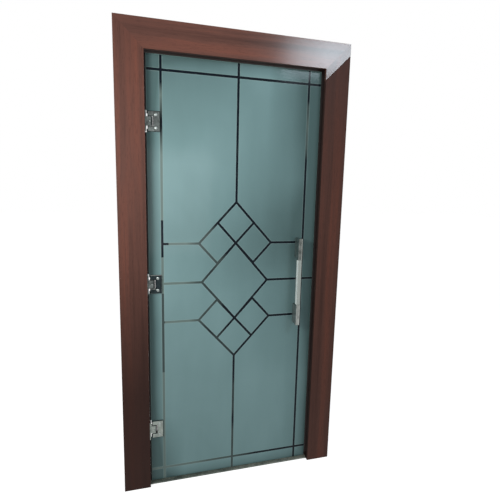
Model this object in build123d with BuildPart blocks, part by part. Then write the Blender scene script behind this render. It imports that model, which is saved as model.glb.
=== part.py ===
import os
from math import hypot

from build123d import *

os.makedirs("parts", exist_ok=True)

# A toughened glass door leaf on glass-to-wall hinges, in a wood lined and cased opening.
# Millimetres. X runs across the opening, Y through the wall, Z up. The front faces -Y.
# The origin is at floor level, in the middle of the opening and of the glass thickness.

# Opening and frame
opening_width = 850
opening_height = 2075
casing_width = 125
casing_thickness = 15
casing_arris = 1
lining_thickness = 30
lining_depth = 80
head_housing = 10
corner_piece_height = 54
corner_piece_joint = 1.5

# Anchor screw holes through the side linings, behind the hinge plates
anchor_radius = 4
anchor_head_radius = 8
anchor_count = 4
anchor_from_floor = 150
anchor_from_head = 125
anchor_from_rear = 14

# Threshold strip
threshold_width = 50
threshold_thickness = 5
threshold_bevel = 3

# Glass leaf
glass_thickness = 12
glass_arris = 1
leaf_setback = 39
hinge_side_gap = 8
strike_side_gap = 6
head_gap = 5
floor_gap = 8
edge_seal_base = 2
edge_seal_end_gap = 3

# Etched pattern: clear lines, proud of the sandblasted rear face
clear_line_width = 12
border_inset = 63
diamond_half_width = 91
diamond_half_height = 100
side_diamond_rise = 192
centre_diamond_half_width = 167
etch_depth = 0.3

# Hinges: wall plate and knuckle
hinge_inset = 285
pivot_from_jamb = 22
wall_plate_height = 90
wall_plate_depth = 50
wall_plate_thickness = 6
wall_plate_bevel = 1.5
wall_screw_radius = 2.5
wall_screw_head_radius = 4.5
wall_screw_length = 28
wall_screw_point = 3
wall_screw_cross = 4.5
wall_screw_cross_width = 1.2
wall_screw_cross_depth = 1.3
wall_screw_rise = 33
wall_screw_side = 17
knuckle_radius = 13
knuckle_height = 40
knuckle_arris = 1
set_screw_radius = 3
set_screw_key = 3
set_screw_key_depth = 3
set_screw_recess = 0.6
set_screw_end_gap = 0.3

# Hinges: pin and clamp plates
pin_radius = 4
pin_clearance = 0.05
pin_end_recess = 0.5
pin_arris = 0.5
knuckle_gap = 1.5
boss_height = 10
clamp_plate_width = 55
clamp_plate_height = 90
clamp_plate_thickness = 6
clamp_plate_overhang = 10
clamp_plate_bevel = 2.5
clamp_plate_corner = 3
gasket_thickness = 1
gasket_inset = 1.5
glass_notch_clearance = 2
glass_ear_radius = 8
clamp_post_radius = 6
clamp_screw_radius = 3
clamp_screw_clearance = 0.1
clamp_screw_length = 18
clamp_screw_rise = 29
clamp_screw_from_edge = 19
clamp_head_radius = 6.5
clamp_head_height = 2.5
clamp_head_dome = 1.5
clamp_head_flat_radius = 2.8
hex_key = 4
hex_depth = 1.8

# Pull handles
pull_length = 450
pull_bar = 20
pull_bar_arris = 1.5
pull_reach = 50
pull_backset = 97
pull_height = 1030
pull_leg_width = 12
pull_leg_height = 100
pull_leg_arris = 0.8
pull_end_section = 110
pull_groove = 0.8
pull_gasket_thickness = 1
stud_from_end = 75
stud_radius = 3
stud_depth = 19
stud_hole_depth = 20
stud_clearance = 0.1
bush_wall = 1.5
bush_clearance = 0.2
grub_radius = 2
grub_recess = 0.4

# Planes and edges that follow from those sizes
glass_face = glass_thickness / 2
front_y = -(glass_face + leaf_setback)
lining_front_y = front_y + casing_thickness
lining_rear_y = lining_front_y + lining_depth
lining_middle_y = (lining_front_y + lining_rear_y) / 2
jamb_x = opening_width / 2
frame_x = jamb_x + casing_width
frame_height = opening_height + casing_width
leaf_left = -jamb_x + hinge_side_gap
leaf_right = jamb_x - strike_side_gap
leaf_bottom = floor_gap
leaf_top = opening_height - head_gap
leaf_width = leaf_right - leaf_left
leaf_height = leaf_top - leaf_bottom
leaf_middle_x = (leaf_left + leaf_right) / 2
leaf_middle_z = (leaf_bottom + leaf_top) / 2
pivot_x = -jamb_x + pivot_from_jamb
clamp_left = pivot_x - clamp_plate_overhang
clamp_right = clamp_left + clamp_plate_width
clamp_inner_y = glass_face + gasket_thickness
clamp_outer_y = clamp_inner_y + clamp_plate_thickness
clamp_screw_x = clamp_right - clamp_screw_from_edge
notch_right = pivot_x + knuckle_radius + knuckle_gap
notch_half_height = knuckle_height / 2 + knuckle_gap
boss_top = notch_half_height + boss_height
glass_notch_half_height = boss_top + glass_notch_clearance
pull_x = leaf_right - pull_backset
pull_bar_y = glass_face + pull_reach
pull_foot_y = glass_face + pull_gasket_thickness
pull_bottom = pull_height - pull_length / 2
pull_top = pull_height + pull_length / 2
bush_radius = stud_radius + stud_clearance + bush_wall
stud_heights = [pull_bottom + stud_from_end, pull_top - stud_from_end]
leg_heights = [pull_bottom + pull_leg_height / 2, pull_top - pull_leg_height / 2]
anchor_y = lining_rear_y - anchor_from_rear
anchor_pitch = (opening_height - anchor_from_head - anchor_from_floor) / (anchor_count - 1)
anchor_heights = [anchor_from_floor + i * anchor_pitch for i in range(anchor_count)]
hinge_heights = {
    "bottom": leaf_bottom + hinge_inset,
    "middle": leaf_middle_z,
    "top": leaf_top - hinge_inset,
}
wall_screw_offsets = [
    (side * wall_screw_side, rise * wall_screw_rise) for side in (-1, 1) for rise in (-1, 1)
]


def save(piece, label):
    """Name a finished piece and write its file."""
    piece.part.label = label
    export_step(piece.part, f"parts/{label}.step")


def jamb_plane(side, distance=0):
    """A plane on a side lining's face, or in front of it, facing into the opening.

    Its y lies along Z. Its x lies along Y on the hinge side and against it on the strike side.
    """
    return Plane(
        origin=(side * (jamb_x - distance), 0, 0), x_dir=(0, -side, 0), z_dir=(-side, 0, 0)
    )


# Side linings: boards the depth of the wall, rebated at the top for the head lining.
# The anchor holes are behind the leaf, and the hinge side also has the hinge screw holes.
for side, label in ((-1, "hinge_side_lining"), (1, "strike_side_lining")):
    with BuildPart() as side_lining:
        with BuildSketch() as board_section:
            with Locations((side * (jamb_x + lining_thickness / 2), lining_middle_y)):
                Rectangle(lining_thickness, lining_depth)
        extrude(amount=opening_height + lining_thickness)
        with BuildSketch(Plane.XY.offset(opening_height)) as rebate_section:
            with Locations((side * (jamb_x + head_housing / 2), lining_middle_y)):
                Rectangle(head_housing, lining_depth)
        extrude(amount=lining_thickness, mode=Mode.SUBTRACT)
        with Locations(jamb_plane(side)):
            with Locations(*[(-side * anchor_y, height) for height in anchor_heights]):
                CounterSinkHole(anchor_radius, anchor_head_radius, counter_sink_angle=90)
            if label == "hinge_side_lining":
                for centre in hinge_heights.values():
                    with Locations(*[(y, centre + z) for y, z in wall_screw_offsets]):
                        Hole(wall_screw_radius, depth=wall_screw_length - wall_plate_thickness)
    save(side_lining, label)

with BuildPart() as head_lining:
    with BuildSketch(Plane.XY.offset(opening_height)) as board_section:
        with Locations((0, lining_middle_y)):
            Rectangle(opening_width + 2 * head_housing, lining_depth)
    extrude(amount=lining_thickness)
save(head_lining, "head_lining")


def on_mitre(edge):
    """Whether an edge lies on the line of a top corner's mitre, where the joint is tight."""
    middle = edge.center()
    return abs(abs(middle.X) - jamb_x - middle.Z + opening_height) < casing_arris


def casing_board(label, outline, facing):
    """A flat board on the front (-1) or rear (1) of the linings, eased but at its mitres."""
    back_y = lining_front_y if facing < 0 else lining_rear_y
    with BuildPart() as board:
        with BuildSketch(Plane.XZ.offset(-back_y)) as board_face:
            with BuildLine() as board_edges:
                Polyline(*outline, close=True)
            make_face()
        extrude(amount=-facing * casing_thickness)
        show_face = board.faces().sort_by(Axis.Y)[0 if facing < 0 else -1]
        chamfer([edge for edge in show_face.edges() if not on_mitre(edge)], casing_arris)
    save(board, label)


def upright_outline(side, shortened):
    """The outline of an upright casing, mitred at the top, and ending short of the corner."""
    return [
        (side * jamb_x, 0),
        (side * frame_x, 0),
        (side * frame_x, frame_height - shortened),
        (side * jamb_x, opening_height - shortened),
    ]


head_outline = [
    (-frame_x, frame_height),
    (frame_x, frame_height),
    (jamb_x, opening_height),
    (-jamb_x, opening_height),
]
corner_piece_outline = [
    (jamb_x, opening_height - corner_piece_height),
    (frame_x, frame_height - corner_piece_height),
    (frame_x, frame_height),
    (jamb_x, opening_height),
]

# Casings: mitred boards round both faces of the opening. At the front's strike side corner
# the upright stops short, and a strip with the same mitre fills the corner above a thin joint.
strike_side_shortened = corner_piece_height + corner_piece_joint
casing_board("front_casing_hinge_side", upright_outline(-1, 0), -1)
casing_board("front_casing_strike_side", upright_outline(1, strike_side_shortened), -1)
casing_board("front_casing_corner_piece", corner_piece_outline, -1)
casing_board("front_casing_head", head_outline, -1)
casing_board("rear_casing_hinge_side", upright_outline(-1, 0), 1)
casing_board("rear_casing_strike_side", upright_outline(1, 0), 1)
casing_board("rear_casing_head", head_outline, 1)

# Threshold: a flat strip between the linings, bevelled on both long edges.
with BuildPart() as threshold:
    with BuildSketch() as strip:
        Rectangle(opening_width, threshold_width)
    extrude(amount=threshold_thickness)
    walked_edges = threshold.faces().sort_by(Axis.Z)[-1].edges().filter_by(Axis.X)
    chamfer(walked_edges, threshold_bevel)
save(threshold, "threshold")


# Etched pattern, drawn as the clear lines that the sandblasting leaves.
def diamond_line(half_width, half_height):
    """The clear line round a diamond: a band along its sides, half a line width each way."""
    side_length = hypot(half_width, half_height)
    grow_x = clear_line_width / 2 * side_length / half_height
    grow_z = clear_line_width / 2 * side_length / half_width
    with BuildSketch() as band:
        for sign, mode in ((1, Mode.ADD), (-1, Mode.SUBTRACT)):
            tip_x = half_width + sign * grow_x
            tip_z = half_height + sign * grow_z
            with BuildLine() as diamond_sides:
                Polyline((tip_x, 0), (0, tip_z), (-tip_x, 0), (0, -tip_z), close=True)
            make_face(mode=mode)
    return band.sketch


def straight_line(start, end):
    """A clear line along X or Z from one point to another, as a rectangle of the line's width."""
    middle = ((start[0] + end[0]) / 2, (start[1] + end[1]) / 2)
    across = max(abs(end[0] - start[0]), clear_line_width)
    up = max(abs(end[1] - start[1]), clear_line_width)
    with Locations(middle):
        Rectangle(across, up)


upper_tips = leaf_middle_z + side_diamond_rise
lower_tips = leaf_middle_z - side_diamond_rise
small_diamond = diamond_line(diamond_half_width, diamond_half_height)
centre_diamond = diamond_line(centre_diamond_half_width, side_diamond_rise)
border_left = leaf_left + border_inset
border_right = leaf_right - border_inset
border_bottom = leaf_bottom + border_inset
border_top = leaf_top - border_inset
pattern_top = upper_tips + 2 * diamond_half_height
pattern_bottom = lower_tips - 2 * diamond_half_height
small_diamond_places = [
    place
    for level, outwards in ((upper_tips, 1), (lower_tips, -1))
    for place in (
        (leaf_middle_x - diamond_half_width, level),
        (leaf_middle_x + diamond_half_width, level),
        (leaf_middle_x, level + outwards * diamond_half_height),
    )
]

with BuildSketch() as clear_lines:
    with Locations(*small_diamond_places):
        add(small_diamond)
    with Locations((leaf_middle_x, leaf_middle_z)):
        add(centre_diamond)
    for border_x in (border_left, border_right):
        straight_line((border_x, leaf_bottom), (border_x, leaf_top))
    for border_z in (border_bottom, border_top):
        straight_line((leaf_left, border_z), (leaf_right, border_z))
    centre_tips = (leaf_middle_x - centre_diamond_half_width, leaf_middle_x + centre_diamond_half_width)
    straight_line((leaf_left, leaf_middle_z), (centre_tips[0], leaf_middle_z))
    straight_line((centre_tips[1], leaf_middle_z), (leaf_right, leaf_middle_z))
    straight_line((leaf_middle_x, pattern_top), (leaf_middle_x, border_top))
    straight_line((leaf_middle_x, border_bottom), (leaf_middle_x, pattern_bottom))
    for level in (upper_tips, lower_tips):
        straight_line((border_left, level), (leaf_middle_x - 2 * diamond_half_width, level))
        straight_line((leaf_middle_x + 2 * diamond_half_width, level), (border_right, level))


def glass_notch(centre):
    """The cut-out at a hinge: a slot in from the glass edge, with an ear round each screw."""
    depth = clamp_screw_x - leaf_left
    with Locations((leaf_left + depth / 2, centre)):
        Rectangle(depth, 2 * glass_notch_half_height, mode=Mode.SUBTRACT)
    with Locations(*[(clamp_screw_x, centre + rise * clamp_screw_rise) for rise in (-1, 1)]):
        Circle(glass_ear_radius, mode=Mode.SUBTRACT)


# Glass leaf: notched for the hinges and drilled for the pulls before it is toughened, with
# polished arrises, and sandblasted on the rear face everywhere but on the clear lines and
# under the hinges and the pulls.
with BuildPart() as glass_leaf:
    with BuildSketch(Plane.XZ.offset(-glass_face)) as leaf_outline:
        with Locations((leaf_middle_x, leaf_middle_z)):
            Rectangle(leaf_width, leaf_height)
        for centre in hinge_heights.values():
            glass_notch(centre)
        with Locations(*[(pull_x, height) for height in stud_heights]):
            Circle(bush_radius + bush_clearance, mode=Mode.SUBTRACT)
    extrude(amount=glass_thickness)
    flat_faces = glass_leaf.faces().sort_by(Axis.Y)
    arrises = flat_faces[0].outer_wire().edges() + flat_faces[-1].outer_wire().edges()
    chamfer(arrises, glass_arris)
    with BuildSketch(Plane.XZ.offset(-glass_face)) as sandblasted:
        with Locations((leaf_middle_x, leaf_middle_z)):
            Rectangle(leaf_width, leaf_height)
        add(clear_lines.sketch, mode=Mode.SUBTRACT)
        for centre in hinge_heights.values():
            with Locations(((clamp_left + clamp_right) / 2, centre)):
                Rectangle(clamp_plate_width, clamp_plate_height, mode=Mode.SUBTRACT)
        with Locations(*[(pull_x, height) for height in leg_heights]):
            Rectangle(pull_leg_width, pull_leg_height, mode=Mode.SUBTRACT)
    extrude(amount=etch_depth, mode=Mode.SUBTRACT)
save(glass_leaf, "glass_leaf")

# Edge seal: a rubber bulb bonded to the flat of the glass's hinge edge, in four lengths that
# stop clear of the wall plates.
seal_ends = [leaf_bottom]
for centre in hinge_heights.values():
    reach = wall_plate_height / 2 + edge_seal_end_gap
    seal_ends += [centre - reach, centre + reach]
seal_ends.append(leaf_top)
with BuildPart() as edge_seal:
    bulb_x = leaf_left - edge_seal_base
    bulb_radius = glass_face - glass_arris
    for low, high in zip(seal_ends[::2], seal_ends[1::2]):
        with BuildSketch(Plane.XY.offset(low)) as seal_section:
            with BuildLine() as seal_profile:
                Polyline(
                    (bulb_x, bulb_radius),
                    (leaf_left, bulb_radius),
                    (leaf_left, -bulb_radius),
                    (bulb_x, -bulb_radius),
                )
                ThreePointArc(
                    (bulb_x, -bulb_radius), (bulb_x - bulb_radius, 0), (bulb_x, bulb_radius)
                )
            make_face()
        extrude(amount=high - low)
save(edge_seal, "hinge_edge_seal")


def clamp_outline(inset):
    """The C shaped outline that a hinge's clamp plates and gaskets share, about its centre."""
    notch_width = notch_right - clamp_left
    with BuildSketch() as outline:
        with Locations(((clamp_left + clamp_right) / 2, 0)):
            RectangleRounded(
                clamp_plate_width - 2 * inset, clamp_plate_height - 2 * inset, clamp_plate_corner
            )
        with Locations((clamp_left + notch_width / 2, 0)):
            Rectangle(notch_width + 2 * inset, 2 * (notch_half_height + inset), mode=Mode.SUBTRACT)
    return outline.sketch


def wall_plate(label, centre):
    """The fixed half: a screwed plate cast in one with the round nosed knuckle."""
    knuckle_reach = pivot_x + jamb_x
    with BuildPart() as plate:
        with BuildSketch(jamb_plane(-1)) as plate_face:
            with Locations((0, centre)):
                Rectangle(wall_plate_depth, wall_plate_height)
        extrude(amount=wall_plate_thickness)
        chamfer(plate.faces().sort_by(Axis.X)[-1].edges(), wall_plate_bevel)
        with BuildSketch(Plane.XY.offset(centre - knuckle_height / 2)) as knuckle_section:
            with Locations((pivot_x - knuckle_reach / 2, 0)):
                Rectangle(knuckle_reach, 2 * knuckle_radius)
            with Locations((pivot_x, 0)):
                Circle(knuckle_radius)
        extrude(amount=knuckle_height)
        chamfer(plate.edges().filter_by(GeomType.CIRCLE), knuckle_arris)
        with Locations((pivot_x, 0, centre + knuckle_height / 2)):
            Hole(pin_radius + pin_clearance, depth=knuckle_height)
        with Locations(Plane.XZ.offset(knuckle_radius)):
            with Locations((pivot_x, centre)):
                Hole(set_screw_radius, depth=knuckle_radius)
        with Locations(jamb_plane(-1, wall_plate_thickness)):
            with Locations(*[(y, centre + z) for y, z in wall_screw_offsets]):
                CounterSinkHole(wall_screw_radius, wall_screw_head_radius, counter_sink_angle=90)
    save(plate, label)


def clamp_plate(label, centre, facing):
    """A clamp plate on the front (-1) or rear (1) of the glass, bevelled round its face.

    The rear one carries the bosses that hold the pin and the posts that the screws bite in.
    """
    plane = Plane.XZ.offset(-facing * clamp_inner_y)
    with BuildPart() as plate:
        with BuildSketch(plane) as plate_face:
            with Locations((0, centre)):
                add(clamp_outline(0))
        extrude(amount=-facing * clamp_plate_thickness)
        show_face = plate.faces().sort_by(Axis.Y)[0 if facing < 0 else -1]
        chamfer(show_face.edges(), clamp_plate_bevel)
        screw_heights = [centre + rise * clamp_screw_rise for rise in (-1, 1)]
        if facing > 0:
            with BuildSketch(plane) as boss_face:
                boss_width = notch_right - clamp_left
                for rise in (-1, 1):
                    boss_middle = centre + rise * (notch_half_height + boss_height / 2)
                    with Locations((clamp_left + boss_width / 2, boss_middle)):
                        Rectangle(boss_width, boss_height)
                with Locations(*[(clamp_screw_x, height) for height in screw_heights]):
                    Circle(clamp_post_radius)
            extrude(amount=2 * clamp_inner_y)
            with Locations((pivot_x, 0, centre + boss_top)):
                Hole(pin_radius, depth=2 * boss_top)
            with Locations(Plane.XZ.offset(clamp_inner_y)):
                with Locations(*[(clamp_screw_x, height) for height in screw_heights]):
                    Hole(clamp_screw_radius, depth=2 * clamp_inner_y)
        else:
            with Locations(Plane.XZ.offset(clamp_outer_y)):
                with Locations(*[(clamp_screw_x, height) for height in screw_heights]):
                    Hole(clamp_screw_radius + clamp_screw_clearance, depth=clamp_plate_thickness)
    save(plate, label)


def hinge_gasket(label, centre, facing):
    """The thin sheet between the glass and a clamp plate, cut away where the glass is."""
    with BuildPart() as gasket:
        with BuildSketch(Plane.XZ.offset(-facing * glass_face)) as gasket_face:
            with Locations((0, centre)):
                add(clamp_outline(gasket_inset))
            glass_notch(centre)
        extrude(amount=-facing * gasket_thickness)
    save(gasket, label)


def hinge_pin(label, centre):
    """The pin: held in the rear clamp plate's bosses, it turns in the knuckle."""
    with BuildPart() as pin:
        with BuildSketch(Plane.XY.offset(centre - boss_top + pin_end_recess)) as pin_section:
            with Locations((pivot_x, 0)):
                Circle(pin_radius)
        extrude(amount=2 * (boss_top - pin_end_recess))
        chamfer(pin.edges().filter_by(GeomType.CIRCLE), pin_arris)
    save(pin, label)


for position, centre in hinge_heights.items():
    wall_plate(f"{position}_hinge_wall_plate", centre)
    clamp_plate(f"{position}_hinge_front_plate", centre, -1)
    clamp_plate(f"{position}_hinge_rear_plate", centre, 1)
    hinge_gasket(f"{position}_hinge_front_gasket", centre, -1)
    hinge_gasket(f"{position}_hinge_rear_gasket", centre, 1)
    hinge_pin(f"{position}_hinge_pin", centre)

# Wall plate screws: countersunk wood screws with a cross recess, four to a hinge.
with BuildPart() as wall_screw:
    head_depth = wall_screw_head_radius - wall_screw_radius
    with BuildSketch(Plane.XZ) as screw_half:
        with BuildLine() as screw_profile:
            Polyline(
                (0, 0),
                (wall_screw_head_radius, 0),
                (wall_screw_radius, -head_depth),
                (wall_screw_radius, wall_screw_point - wall_screw_length),
                (0, -wall_screw_length),
                close=True,
            )
        make_face()
    revolve(axis=Axis.Z)
    with BuildSketch() as cross_recess:
        Rectangle(wall_screw_cross, wall_screw_cross_width)
        Rectangle(wall_screw_cross_width, wall_screw_cross)
    extrude(amount=-wall_screw_cross_depth, mode=Mode.SUBTRACT)

with BuildPart() as wall_screws:
    with Locations(jamb_plane(-1, wall_plate_thickness)):
        for centre in hinge_heights.values():
            with Locations(*[(y, centre + z) for y, z in wall_screw_offsets]):
                add(wall_screw.part)
save(wall_screws, "hinge_wall_screws")

# Set screws: in the front of each knuckle, with a hexagonal socket, just clear of the pin.
with BuildPart() as set_screws:
    set_screw_front = knuckle_radius - set_screw_recess
    set_screw_length = set_screw_front - pin_radius - set_screw_end_gap
    with BuildSketch(Plane.XZ.offset(set_screw_front)) as set_screw_section:
        with Locations(*[(pivot_x, centre) for centre in hinge_heights.values()]):
            Circle(set_screw_radius)
    extrude(amount=-set_screw_length)
    with BuildSketch(Plane.XZ.offset(set_screw_front)) as key_sockets:
        with Locations(*[(pivot_x, centre) for centre in hinge_heights.values()]):
            RegularPolygon(set_screw_key / 2, 6, major_radius=False)
    extrude(amount=-set_screw_key_depth, mode=Mode.SUBTRACT)
save(set_screws, "hinge_set_screws")

# Clamp screws: domed socket heads on the front plates, threaded into the rear plates' posts.
with BuildPart() as clamp_screw:
    with BuildSketch(Plane.XZ) as head_half:
        with BuildLine() as head_profile:
            rim_height = clamp_head_height - clamp_head_dome
            Polyline(
                (clamp_head_flat_radius, clamp_head_height),
                (0, clamp_head_height),
                (0, -clamp_screw_length),
                (clamp_screw_radius, -clamp_screw_length),
                (clamp_screw_radius, 0),
                (clamp_head_radius, 0),
                (clamp_head_radius, rim_height),
            )
            RadiusArc(
                (clamp_head_radius, rim_height),
                (clamp_head_flat_radius, clamp_head_height),
                -clamp_head_radius,
            )
        make_face()
    revolve(axis=Axis.Z)
    with BuildSketch(Plane.XY.offset(clamp_head_height)) as socket:
        RegularPolygon(hex_key / 2, 6, major_radius=False)
    extrude(amount=-hex_depth, mode=Mode.SUBTRACT)

with BuildPart() as clamp_screws:
    with Locations(Plane.XZ.offset(clamp_outer_y)):
        for centre in hinge_heights.values():
            for rise in (-1, 1):
                with Locations((clamp_screw_x, centre + rise * clamp_screw_rise)):
                    add(clamp_screw.part)
save(clamp_screws, "hinge_clamp_screws")


def pull_handle(label, facing):
    """A square bar on two long flat legs, welded up in one, with stud holes in its feet."""
    bar_y = facing * pull_bar_y
    foot_y = facing * pull_foot_y
    leg_depth = pull_bar_y - pull_foot_y
    with BuildPart() as pull:
        with BuildSketch(Plane.XY.offset(pull_bottom)) as bar_section:
            with Locations((pull_x, bar_y)):
                RectangleRounded(pull_bar, pull_bar, pull_bar_arris)
        extrude(amount=pull_length)
        for groove_height in (pull_bottom + pull_end_section, pull_top - pull_end_section):
            with BuildSketch(Plane.XY.offset(groove_height - pull_groove / 2)) as groove:
                with Locations((pull_x, bar_y)):
                    Rectangle(2 * pull_bar, 2 * pull_bar)
                    groove_width = pull_bar - 2 * pull_groove
                    Rectangle(groove_width, groove_width, mode=Mode.SUBTRACT)
            extrude(amount=pull_groove, mode=Mode.SUBTRACT)
        for leg_height in leg_heights:
            with BuildSketch(Plane.XZ.offset(-foot_y)) as leg_section:
                with Locations((pull_x, leg_height)):
                    RectangleRounded(pull_leg_width, pull_leg_height, pull_leg_arris)
            extrude(amount=-facing * leg_depth)
        with BuildSketch(Plane.XZ.offset(-foot_y)) as stud_holes:
            with Locations(*[(pull_x, height) for height in stud_heights]):
                Circle(stud_radius)
        extrude(amount=-facing * stud_hole_depth, mode=Mode.SUBTRACT)
        if facing > 0:
            with Locations(Plane.YZ.offset(pull_x + pull_leg_width / 2)):
                with Locations(*[(foot_y + stud_depth / 2, height) for height in stud_heights]):
                    Hole(grub_radius, depth=pull_leg_width / 2)
    save(pull, label)


pull_handle("front_pull", -1)
pull_handle("rear_pull", 1)

# Pull studs: threaded rods through the glass from one pull's legs to the other's.
with BuildPart() as pull_studs:
    with BuildSketch(Plane.XZ.offset(pull_foot_y + stud_depth)) as stud_section:
        with Locations(*[(pull_x, height) for height in stud_heights]):
            Circle(stud_radius)
    extrude(amount=-2 * (pull_foot_y + stud_depth))
save(pull_studs, "pull_studs")

# Stud bushes: they keep the studs off the edges of the holes in the glass.
with BuildPart() as stud_bushes:
    with BuildSketch(Plane.XZ.offset(glass_face)) as bush_section:
        with Locations(*[(pull_x, height) for height in stud_heights]):
            Circle(bush_radius)
            Circle(stud_radius + stud_clearance, mode=Mode.SUBTRACT)
    extrude(amount=-glass_thickness)
save(stud_bushes, "pull_stud_bushes")

# Pull gaskets: one under each leg, two on each side of the glass.
with BuildPart() as pull_gaskets:
    for facing in (-1, 1):
        with BuildSketch(Plane.XZ.offset(-facing * glass_face)) as pull_gasket_face:
            with Locations(*[(pull_x, height) for height in leg_heights]):
                Rectangle(pull_leg_width, pull_leg_height)
            with Locations(*[(pull_x, height) for height in stud_heights]):
                Circle(stud_radius + stud_clearance, mode=Mode.SUBTRACT)
        extrude(amount=-facing * pull_gasket_thickness)
save(pull_gaskets, "pull_gaskets")

# Grub screws: in the sides of the rear pull's legs, holding it on the studs.
with BuildPart() as grub_screws:
    grub_length = pull_leg_width / 2 - grub_recess - stud_radius
    with BuildSketch(Plane.YZ.offset(pull_x + stud_radius)) as grub_section:
        with Locations(*[(pull_foot_y + stud_depth / 2, height) for height in stud_heights]):
            Circle(grub_radius)
    extrude(amount=grub_length)
save(grub_screws, "pull_grub_screws")
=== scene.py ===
from math import hypot, pi, radians

import bpy
from mathutils import Matrix, Vector


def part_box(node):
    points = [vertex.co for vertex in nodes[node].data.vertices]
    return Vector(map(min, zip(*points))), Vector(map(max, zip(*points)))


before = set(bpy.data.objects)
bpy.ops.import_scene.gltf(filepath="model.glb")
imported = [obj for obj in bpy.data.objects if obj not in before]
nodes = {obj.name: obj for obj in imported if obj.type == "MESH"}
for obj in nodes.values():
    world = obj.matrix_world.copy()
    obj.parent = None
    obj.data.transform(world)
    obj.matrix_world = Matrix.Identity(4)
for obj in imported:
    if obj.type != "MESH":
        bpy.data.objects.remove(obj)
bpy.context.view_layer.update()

# Casings: flat MDF boards wrapped in a reddish brown printed veneer, mitred and pinned to the
# linings. The uprights have a dull satin face and their grain runs up them.


class Shade:
    """A socket in a material's node tree. Sums written on it add Math nodes."""

    def __init__(self, tree, socket):
        self.tree = tree
        self.socket = socket

    def node(self, kind, inputs, output=0, stops=None, **settings):
        """Add any other node: its settings first, then the values or links of its sockets."""
        made = self.tree.nodes.new(kind)
        for name, value in settings.items():
            setattr(made, name, value)
        if stops:
            ramp = made.color_ramp.elements
            while len(ramp) < len(stops):
                ramp.new(0.5)
            for element, (place, colour) in zip(ramp, stops):
                element.position = place
                element.color = (*colour, 1)
        for name, value in inputs.items():
            if isinstance(value, Shade):
                self.tree.links.new(value.socket, made.inputs[name])
            else:
                made.inputs[name].default_value = value
        return Shade(self.tree, made.outputs[output])

    def maths(self, operation, other=0.0):
        return self.node("ShaderNodeMath", {0: self, 1: other}, operation=operation)

    def __add__(self, other):
        return self.maths("ADD", other)

    __radd__ = __add__

    def __sub__(self, other):
        return self.maths("SUBTRACT", other)

    def __rsub__(self, other):
        return self.node("ShaderNodeMath", {0: other, 1: self}, operation="SUBTRACT")

    def __mul__(self, other):
        return self.maths("MULTIPLY", other)

    __rmul__ = __mul__

    def __truediv__(self, other):
        return self.maths("DIVIDE", other)

    def __lt__(self, other):
        return self.maths("LESS_THAN", other)

    def __gt__(self, other):
        return self.maths("GREATER_THAN", other)

    def __abs__(self):
        return self.maths("ABSOLUTE")

    def least(self, other):
        return self.maths("MINIMUM", other)

    def most(self, other):
        return self.maths("MAXIMUM", other)

    def clamped(self):
        return self.most(0.0).least(1.0)

    def fading(self, reach):
        """1 where this distance is nothing, falling to 0 where it is the reach."""
        return (1.0 - self / reach).most(0.0)

    def axis(self, index):
        """This position's or direction's X, Y or Z, by its index."""
        return self.node("ShaderNodeSeparateXYZ", {0: self}, output=index)

    def mixed(self, low, high):
        """The colour that lies this far from one colour to another."""
        colours = {0: self, 6: low, 7: high}
        return self.node("ShaderNodeMix", colours, output=2, data_type="RGBA")

    def ramp(self, *stops):
        return self.node("ShaderNodeValToRGB", {0: self}, stops=stops)

    def noise(self, stretch, detail=2.0, distortion=0.0):
        """Noise over this position, with so many lumps to the metre along X, Y and Z."""
        place = self.node("ShaderNodeVectorMath", {0: self, 1: stretch}, operation="MULTIPLY")
        inputs = {"Vector": place, "Scale": 1.0, "Detail": detail, "Distortion": distortion}
        return self.node("ShaderNodeTexNoise", inputs)

    def bump(self, strength, depth):
        """This height as a relief so many metres deep."""
        inputs = {"Height": self, "Strength": strength, "Distance": depth}
        return self.node("ShaderNodeBump", inputs)


def new_material(name):
    """A material with its Principled node, and the position in it that patterns are read from."""
    material = bpy.data.materials.new(name)
    material.use_nodes = True
    tree = material.node_tree
    place = tree.nodes.new("ShaderNodeTexCoord")
    return material, tree.nodes["Principled BSDF"], Shade(tree, place.outputs["Object"])


def set_inputs(principled, values):
    """Set the Principled node's sockets by name, to values or to links."""
    for name, value in values.items():
        if isinstance(value, Shade):
            value.tree.links.new(value.socket, principled.inputs[name])
        else:
            principled.inputs[name].default_value = value


def dress(material, *names):
    """Give CAD nodes their material."""
    for name in names:
        mesh = nodes[name].data
        mesh.materials.clear()
        mesh.materials.append(material)


def scaled(colour, factor):
    """A colour with each channel so many times as strong."""
    return tuple(channel * factor for channel in colour)


def veneer(name, grain_axis, tones, roughness, specular, painted_shade=None):
    """Printed veneer, its grain along one axis: broad stripes, a wandering figure and pores."""
    material, principled, place = new_material(name)

    def stretched(across, along):
        return tuple(along if axis == grain_axis else across for axis in "XYZ")

    stripes = place.noise(stretched(17.0, 0.3), detail=2.0)
    figure = place.noise(stretched(60.0, 1.8), detail=5.0, distortion=0.8)
    fibres = place.noise(stretched(420.0, 9.0), detail=4.0)
    pores = place.noise(stretched(900.0, 30.0), detail=1.0) > 0.66
    tone = stripes * 0.62 + figure * 0.3 + fibres * 0.14
    colour = tone.ramp((0.36, tones[0]), (0.5, tones[1]), (0.68, tones[2]))
    # Painted shade: where the given function asks for it, the colour is mixed towards a dark tone.
    if painted_shade:
        colour = painted_shade(place).mixed(colour, (*scaled(tones[0], 0.55), 1))
    relief = fibres * 0.5 - pores * 0.6
    set_inputs(principled, {
        "Base Color": (pores * 0.5).mixed(colour, (*scaled(tones[0], 0.45), 1)),
        "Roughness": roughness + fibres * 0.12,
        "Specular IOR Level": specular,
        "Normal": relief.bump(0.25, 0.0004),
    })
    return material, principled, place


# The casings' inner edges, which face the opening, get painted shade.
inner_edge_width = 0.0011
inner_edge_painted_shade = 0.95
inner_edge_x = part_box("front_casing_strike_side")[0].x + inner_edge_width
inner_edge_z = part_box("front_casing_head")[0].z + inner_edge_width


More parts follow.
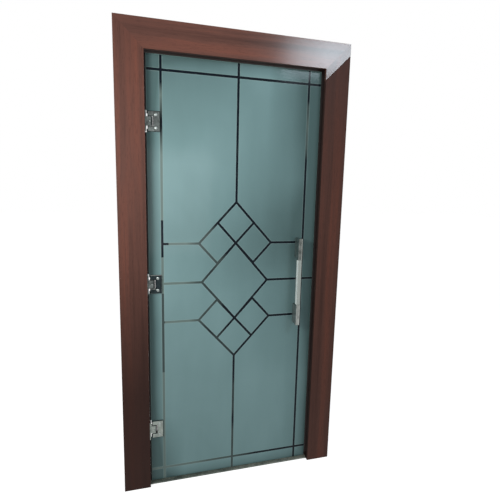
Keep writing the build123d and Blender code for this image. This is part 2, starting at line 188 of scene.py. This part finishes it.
def upright_painted_shade(place):
    """Painted shade: dark towards the foot on the hinge side, a little up the strike side, and on
    inner edges.
    """
    foot_shade_top, strike_shade_start = 1.15, 1.4
    across, height = place.axis(0), place.axis(2)
    at_foot = ((foot_shade_top - height) * 1.3).most(0.0).least(0.85) * (across < 0.0)
    up_strike_side = (0.2 + (height - strike_shade_start).most(0.0) * 0.55) * (across > 0.0)
    on_inner_edge = (abs(across) < inner_edge_x) * inner_edge_painted_shade
    return (at_foot + up_strike_side).most(on_inner_edge)


casing_tones = ((0.043, 0.019, 0.0147), (0.08, 0.0343, 0.0258), (0.127, 0.0437, 0.0293))
upright_veneer = veneer("upright_veneer", "Z", casing_tones, 0.45, 0.1, upright_painted_shade)[0]
dress(
    upright_veneer,
    "front_casing_hinge_side", "front_casing_strike_side",
    "rear_casing_hinge_side", "rear_casing_strike_side",
)

# Head casings and corner piece: the same board, the heads a little paler as painted light, their
# grain running across. Towards the strike side end the lacquer catches the light, and so does the
# strip at the mitre.
head_painted_light = 1.38
head_tones = [scaled(tone, head_painted_light) for tone in casing_tones]


def head_painted_shade(place):
    """Painted shade: a little darker towards the hinge side end, and dark on the inner edge."""
    end_shade_start = -0.1
    at_end = ((end_shade_start - place.axis(0)) * 2.5).clamped() * 0.42
    return at_end.most((place.axis(2) < inner_edge_z) * inner_edge_painted_shade)


head_veneer, principled, place = veneer("head_veneer", "X", head_tones, 0.42, 0.12, head_painted_shade)
thicker_lacquer = (place.axis(0) * 2.3 + 0.02).clamped()
set_inputs(principled, {
    "Coat Weight": thicker_lacquer * (place.axis(2) > inner_edge_z),
    "Coat Roughness": 0.2,
})
dress(head_veneer, "front_casing_head", "rear_casing_head")
corner_veneer, principled = veneer("corner_veneer", "Z", casing_tones, 0.42, 0.12)[:2]
set_inputs(principled, {"Coat Weight": 0.8, "Coat Roughness": 0.17})
dress(corner_veneer, "front_casing_corner_piece")

# Linings: veneered boards, the head's housed in the two sides', with the casings on their edges
# and the hinges screwed to one. They lie in the opening's shade, and their veneer is painted much
# darker than the casings' as painted shade.
lining_painted_shade_tones = ((0.007, 0.0035, 0.003), (0.012, 0.006, 0.005), (0.02, 0.009, 0.007))
side_lining_veneer = veneer("side_lining_veneer", "Z", lining_painted_shade_tones, 0.5, 0.05)[0]
head_lining_veneer = veneer("head_lining_veneer", "X", lining_painted_shade_tones, 0.5, 0.05)[0]
dress(side_lining_veneer, "hinge_side_lining", "strike_side_lining")
dress(head_lining_veneer, "head_lining")

# Threshold: a honed stone strip, grey green with pale and dark flecks, bonded to the floor between
# the linings, its long edges bevelled for the foot. It is paler towards the strike side and darker
# towards the hinge side by painted shade.
stone, principled, place = new_material("threshold_stone")
clouds = place.noise((28.0, 28.0, 28.0), detail=6.0, distortion=0.4)
grains = place.noise((260.0, 260.0, 260.0), detail=3.0)
crystals = place.node(
    "ShaderNodeTexVoronoi", {"Vector": place, "Scale": 210.0, "Randomness": 1.0}
)
# The X term is painted shade, darker towards the hinge side.
stone_flecks_and_painted_shade = clouds * 0.6 + grains * 0.3 + crystals * 0.35 + place.axis(0) * 0.3 - 0.04
stone_colour = stone_flecks_and_painted_shade.ramp(
    (0.36, (0.03, 0.038, 0.032)), (0.56, (0.085, 0.102, 0.084)), (0.78, (0.2, 0.21, 0.18))
)
set_inputs(principled, {
    "Base Color": stone_colour,
    "Roughness": 0.4 + grains * 0.25,
    "Specular IOR Level": 0.35,
    "Normal": (clouds * 0.4 + grains * 0.4).bump(0.3, 0.0006),
})
dress(stone, "threshold")

# Glass leaf: 12 mm toughened glass, sandblasted from behind so that it is a pale grey green, but
# for the masked lines and diamonds, which stay clear and are painted dark as the shade behind
# them. The frost and the lines also carry painted light and shade. The hinges clamp it.
leaf_low, leaf_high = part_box("glass_leaf")
leaf_middle = (leaf_low + leaf_high) / 2
leaf_half = (leaf_high - leaf_low) / 2
line_half = 0.006
outline_width = 0.0016
border_inset = 0.063
border_x = leaf_half.x - border_inset
border_z = leaf_half.z - border_inset
diamond = (0.091, 0.1)
centre_diamond = (0.167, 0.192)
tier_z = 0.192
cut_edge_width = 0.0011
frosted_from_y = 0.005

glass, principled, place = new_material("etched_glass")
x, y, z = [place.axis(index) for index in range(3)]
across = abs(x - leaf_middle.x)
above = abs(z - leaf_middle.z)


def to_diamond(middle_x, middle_z, half_width, half_height):
    """The distance to a diamond's outline, whose corners stay sharp."""
    reach = abs(across - middle_x) / half_width + abs(above - middle_z) / half_height
    return abs(reach - 1.0) * (half_width * half_height / hypot(half_width, half_height))


to_line = to_diamond(diamond[0], tier_z, *diamond)
for to_next_line in (
    to_diamond(0.0, tier_z + diamond[1], *diamond),
    to_diamond(0.0, 0.0, *centre_diamond),
    abs(across - border_x),
    abs(above - border_z),
    across.most(tier_z + 2 * diamond[1] - above),
    abs(above - tier_z).most(2 * diamond[0] - across).most(across - border_x),
    above.most(centre_diamond[0] - across),
):
    to_line = to_line.least(to_next_line)
ragged = place.noise((500.0, 500.0, 500.0), detail=2.0) * 0.0006
clear = (to_line + ragged) < line_half
outline = (to_line < line_half + outline_width) - (to_line < line_half)

clouds = place.noise((1.6, 1.6, 1.3), detail=3.0, distortion=0.5)
grit = place.noise((1500.0, 1500.0, 1500.0), detail=2.0)
wiped = place.noise((9.0, 9.0, 2.5), detail=5.0)
to_edge = (leaf_half.x - across).least(leaf_half.z - above)
frost_and_painted_shade = clouds * 0.3 + wiped * 0.12 + grit * 0.06 + 0.33
# Painted shade on the frost: by its edges, up the strike side, at the head, at two corners and
# across the waist.
edge_shade = to_edge.fading(0.05) * 0.2
hinge_edge_shade = (x - leaf_low.x).fading(0.07) * 0.45
strike_edge_shade = (leaf_high.x - x).fading(0.14) * 0.2
strike_shade = (x * 2.0 + 0.15).clamped() * (1.2 - abs(z - 1.25) * 1.6).clamped() * 0.48
head_shade = (z - 1.6).most(0.0) * (0.1 - x).most(0.0) * 1.9
upper_strike_shade = (z - 1.55).most(0.0) * (x - 0.15).most(0.0) * 5.0
lower_hinge_shade = (0.35 - z).most(0.0) * (-0.25 - x).most(0.0) * 12.0
waist_shade = abs(z - 1.27).fading(0.3) * 0.1
for shade in (
    edge_shade, hinge_edge_shade, strike_edge_shade, strike_shade, head_shade,
    upper_strike_shade, lower_hinge_shade, waist_shade,
):
    frost_and_painted_shade = frost_and_painted_shade - shade
frost_colour = frost_and_painted_shade.ramp(
    (0.1, (0.062, 0.108, 0.108)), (0.5, (0.14, 0.232, 0.236)), (0.9, (0.25, 0.385, 0.395))
)

# Painted light and shade in the clear lines: near black as the shade behind them, olive in
# patches, low down, near the hinges and high on the strike side, darker again beside the top
# hinge, at the waist and at the head.
patches = place.noise((5.0, 5.0, 5.0), detail=1.0) - 0.5
low_down = (0.8 - z).most(0.0) * 0.75
near_hinges = (-0.19 - x).most(0.0) * 5.0
lines_painted_light = (patches * 1.3 - x * 2.6 - 0.15 + low_down + near_hinges).least(0.8)
beside_top_hinge = abs(z - 1.78).fading(0.14) * (x < 0.0)
at_waist = (abs(z - 1.255) < 0.088) * (x < -0.325)
below_waist = (abs(z - 0.79) < 0.2) * (x < -0.345)
lines_painted_light = lines_painted_light - beside_top_hinge * 0.9 - at_waist * 3.0 - below_waist * 0.5
strike_top = (x - 0.25).most(0.0) * (z - 1.45).most(0.0) * 47.0
at_head = ((z - 1.9) * 9.0).clamped()
lines_painted_light = lines_painted_light + strike_top.least(1.7) - at_head * 1.6
clear_colour = lines_painted_light.clamped().mixed((0.003, 0.006, 0.01, 1), (0.145, 0.2, 0.183, 1))

outlined_frost = (outline * 0.3).mixed(frost_colour, (0.3, 0.41, 0.4, 1))
pattern = clear.mixed(outlined_frost, clear_colour)
# The cut edges' green is the glass's own, and their paleness is a painted highlight.
at_side_edges = across > leaf_half.x - cut_edge_width
at_end_edges = above > leaf_half.z - cut_edge_width
cut_edge = (at_side_edges + at_end_edges).clamped()
frosted = (1.0 - clear) * (y > frosted_from_y)
set_inputs(principled, {
    "Base Color": cut_edge.mixed(pattern, (0.22, 0.36, 0.32, 1)),
    "Roughness": 0.07 + frosted * 0.5 + wiped * 0.06,
    "Specular IOR Level": 0.1,
    "Normal": (grit * frosted).bump(0.35, 0.0003),
})
dress(glass, "glass_leaf")

# Hinge wall plates and clamp plates: zinc castings, polished and chromed, with fine scratches from
# wiping. Their colours are painted reflection: the bevels another tone than the faces, and what
# the front shows of the top and middle hinges darker than the rest.
hinge_positions = ("bottom", "middle", "top")
hinge_plates = [
    f"{position}_hinge_{part}" for position in hinge_positions
    for part in ("wall_plate", "front_plate", "rear_plate")
]
# Painted reflection colours for the slanting faces.
painted_dark_rim = (0.04, 0.05, 0.05)
painted_pale_rim = (0.2, 0.21, 0.2)


def metal(name, colour, roughness, scratch_stretch, rim=None, dulling=0.78):
    """Bare metal with smudges and fine scratches, so many to the metre along X, Y and Z.

    A painted reflection colour shows on what slants, such as bevels and round noses.
    """
    material, principled, place = new_material(name)
    smudges = place.noise((45.0, 45.0, 45.0), detail=4.0, distortion=0.6)
    scratches = place.noise(scratch_stretch, detail=3.0)
    tone = (smudges * 0.6 + scratches * 0.4).ramp((0.36, scaled(colour, dulling)), (0.64, colour))
    if rim:
        normal = place.node("ShaderNodeTexCoord", {}, output="Normal")
        leans = [abs(normal.axis(index)) for index in range(3)]
        slant = 1.0 - leans[0].most(leans[1]).most(leans[2])
        tone = (slant * 3.4).clamped().mixed(tone, (*rim, 1))
    set_inputs(principled, {
        "Base Color": tone,
        "Metallic": 1.0,
        "Roughness": roughness + smudges * 0.08 + scratches * 0.06,
        "Normal": scratches.bump(0.12, 0.0002),
    })
    return material


wiping = (260.0, 900.0, 260.0)
chrome = metal("hinge_chrome", (0.26, 0.29, 0.265), 0.07, wiping, painted_dark_rim, 0.5)
dress(chrome, *hinge_plates)
# Darker copies of the chrome as painted reflection: for the middle hinge's front plate, and for
# the top hinge and the middle hinge's wall plate.
chrome_painted_dark = metal("chrome_painted_dark", (0.03, 0.042, 0.046), 0.1, wiping, painted_pale_rim, 0.5)
dress(chrome_painted_dark, "middle_hinge_front_plate")
chrome_painted_dim = metal("chrome_painted_dim", (0.15, 0.17, 0.165), 0.12, wiping, painted_dark_rim, 0.35)
dress(chrome_painted_dim, "middle_hinge_wall_plate", "top_hinge_front_plate", "top_hinge_wall_plate")

# Hinge screws: bright steel, turned, with hexagonal or cross recesses. The domed heads on the
# clamp plates and the set screws in the knuckles face the front.
screw_steel = metal("screw_steel", (0.3, 0.33, 0.32), 0.26, (1500.0, 1500.0, 1500.0))
dress(screw_steel, "hinge_wall_screws", "hinge_set_screws", "hinge_clamp_screws")

# Hinge pins: ground steel rods that show in the gaps above and below each knuckle, with the
# grinding's fine rings round them.
pin_steel = metal("pin_steel", (0.55, 0.55, 0.56), 0.2, (200.0, 200.0, 1800.0))
dress(pin_steel, *[f"{position}_hinge_pin" for position in hinge_positions])

# Gaskets, seal and bushes: black rubber sheet under the plates and the pulls' legs, a black
# bulb bonded to the glass's hinge edge, and nylon bushes round the studs, all with a matt face.
rubber, principled, place = new_material("black_rubber")
rubber_grain = place.noise((700.0, 700.0, 700.0), detail=3.0)
set_inputs(principled, {
    "Base Color": rubber_grain.ramp((0.3, (0.012, 0.012, 0.013)), (0.7, (0.035, 0.036, 0.036))),
    "Roughness": 0.62 + rubber_grain * 0.2,
    "Specular IOR Level": 0.3,
    "Normal": rubber_grain.bump(0.3, 0.0002),
})
hinge_gaskets = [
    f"{position}_hinge_{side}_gasket" for position in hinge_positions for side in ("front", "rear")
]
dress(rubber, *hinge_gaskets, "hinge_edge_seal", "pull_gaskets", "pull_stud_bushes")

# Pull handles: square stainless tube on flat legs. The middle between the two scored lines is
# brushed to a pale satin, and the ends and the legs are polished. The sides' colours are painted
# reflection, bright in the satin and dark in the polish, the polish is painted paler towards the
# foot as reflection, and the strike side arris has a painted highlight.
pull_low, pull_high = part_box("front_pull")
pull_middle = (pull_low + pull_high) / 2
pull_half = (pull_high - pull_low) / 2
polished_end = 0.11
arris_width = 0.0022
pull_steel, principled, place = new_material("pull_steel")
x, z = place.axis(0), place.axis(2)
normal = place.node("ShaderNodeTexCoord", {}, output="Normal")
at_side = abs(normal.axis(0)) > 0.7
at_arris = x - pull_middle.x > pull_half.x - arris_width
satin = abs(z - pull_middle.z) < pull_half.z - polished_end
brushing = place.noise((900.0, 900.0, 12.0), detail=3.0)
smudges = place.noise((60.0, 60.0, 40.0), detail=4.0)
# The polish is painted paler towards the foot as reflection, over its smudges.
polish_smudges_and_painted_reflection = smudges + (pull_middle.z - z) * 0.8
polish_colour = polish_smudges_and_painted_reflection.ramp((0.25, (0.085, 0.095, 0.09)), (0.75, (0.27, 0.29, 0.275)))
# A painted highlight along the strike side arris.
polish_with_painted_highlight = at_arris.mixed(polish_colour, (0.5, 0.54, 0.51, 1))
# The sides' colours are painted reflection.
side_polish_painted_reflection = polish_smudges_and_painted_reflection.ramp((0.25, (0.045, 0.07, 0.069)), (0.75, (0.12, 0.15, 0.147)))
satin_colour = brushing.ramp((0.35, (0.22, 0.245, 0.23)), (0.65, (0.3, 0.33, 0.31)))
side_satin_painted_reflection = brushing.ramp((0.35, (0.6, 0.66, 0.645)), (0.65, (0.74, 0.81, 0.79)))
front_colour = satin.mixed(polish_with_painted_highlight, satin_colour)
side_painted_reflection = satin.mixed(side_polish_painted_reflection, side_satin_painted_reflection)
set_inputs(principled, {
    "Base Color": at_side.mixed(front_colour, side_painted_reflection),
    "Metallic": 1.0 - at_side * 0.9,
    "Roughness": 0.1 + satin * 0.28 + brushing * 0.08,
    "Normal": (brushing * satin).bump(0.2, 0.0002),
})
dress(pull_steel, "front_pull", "rear_pull")

# Pull studs and grub screws: plated steel, hidden but for the grub screws' ends in the sides
# of the rear pull's legs.
plated_steel = metal("plated_steel", (0.6, 0.6, 0.58), 0.2, (900.0, 900.0, 900.0))
dress(plated_steel, "pull_studs", "pull_grub_screws")

# Floor: a plain pale studio floor that keeps the door set's shadow and is lit evenly where it
# is seen, so that it goes over into the surround.
floor_size = 40.0
floor_drop = 0.0005
floor_glow = 0.68


def seen_directly(tree):
    """1 for rays that bring a picture, straight or off or through a surface, and 0 for light."""
    light_path = tree.nodes.new("ShaderNodeLightPath")
    rays = [Shade(tree, light_path.outputs[name]) for name in (
        "Is Camera Ray", "Is Glossy Ray", "Is Transmission Ray")]
    return rays[0].most(rays[1]).most(rays[2])


bpy.ops.object.select_all(action="DESELECT")
bpy.ops.mesh.primitive_plane_add(size=floor_size, location=(0, 0, -floor_drop))
floor = bpy.context.object
floor.name = "studio_floor"
bpy.ops.object.transform_apply(location=True)
floor_material, principled = new_material("studio_floor")[:2]
set_inputs(principled, {
    "Base Color": (0.8, 0.8, 0.8, 1),
    "Roughness": 1.0,
    "Specular IOR Level": 0.0,
    "Emission Color": (1, 1, 1, 1),
    "Emission Strength": seen_directly(floor_material.node_tree) * floor_glow,
})
floor.data.materials.append(floor_material)

# Studio: an even pale surround, a soft lamp high on the hinge side, a fill low on the strike
# side, and a lamp whose reflection lies on the strike side end of the head casing.
ambient = 0.42
world = bpy.data.worlds.new("studio")
bpy.context.scene.world = world
world.use_nodes = True
tree = world.node_tree
surround = tree.nodes["Background"]
surround.inputs["Color"].default_value = (1, 1, 1, 1)
surround_strength = ambient + seen_directly(tree) * (1 - ambient)
tree.links.new(surround_strength.socket, surround.inputs["Strength"])


def area_lamp(name, place, target, size, power, colour):
    """A rectangular lamp that faces a point."""
    lamp = bpy.data.lights.new(name, "AREA")
    lamp.shape = "RECTANGLE"
    lamp.size, lamp.size_y = size
    lamp.energy = power
    lamp.color = colour
    holder = bpy.data.objects.new(name, lamp)
    bpy.context.scene.collection.objects.link(holder)
    holder.location = place
    aim = Vector(target) - Vector(place)
    holder.rotation_euler = aim.to_track_quat("-Z", "Y").to_euler()


area_lamp("key", (-1.15, -1.0, 1.75), (-0.45, 0, 1.65), (0.5, 0.5), 19.0, (1.0, 0.98, 0.96))
area_lamp("fill", (-0.2, -2.8, 1.3), (0.1, 0, 0.9), (1.2, 1.2), 12.0, (0.97, 0.99, 1.0))
area_lamp("glare", (1.36, -1.95, 2.77), (0.5, 0, 2.14), (0.85, 0.35), 15.5, (0.76, 0.9, 1.0))

# Camera: at eye height in front of the hinge side, turned towards the pull and tipped down.
# Its place, turns and lens were fitted to the edges of the frame and the glass.
camera_place = (-0.4665, -1.9138, 1.5056)
yaw, pitch, roll = radians(15.85), radians(8.92), radians(1.35)
focal_pixels = 401.17
picture_pixels = 500
lens = bpy.data.cameras.new("camera")
lens.sensor_width = 36.0
lens.lens = lens.sensor_width * focal_pixels / picture_pixels
camera = bpy.data.objects.new("camera", lens)
bpy.context.scene.collection.objects.link(camera)
turn = Matrix.Rotation(-yaw, 4, "Z") @ Matrix.Rotation(pi / 2 - pitch, 4, "X")
turn = turn @ Matrix.Rotation(roll, 4, "Z")
camera.matrix_world = Matrix.Translation(camera_place) @ turn
bpy.context.scene.camera = camera
bpy.context.scene.view_settings.view_transform = "Standard"
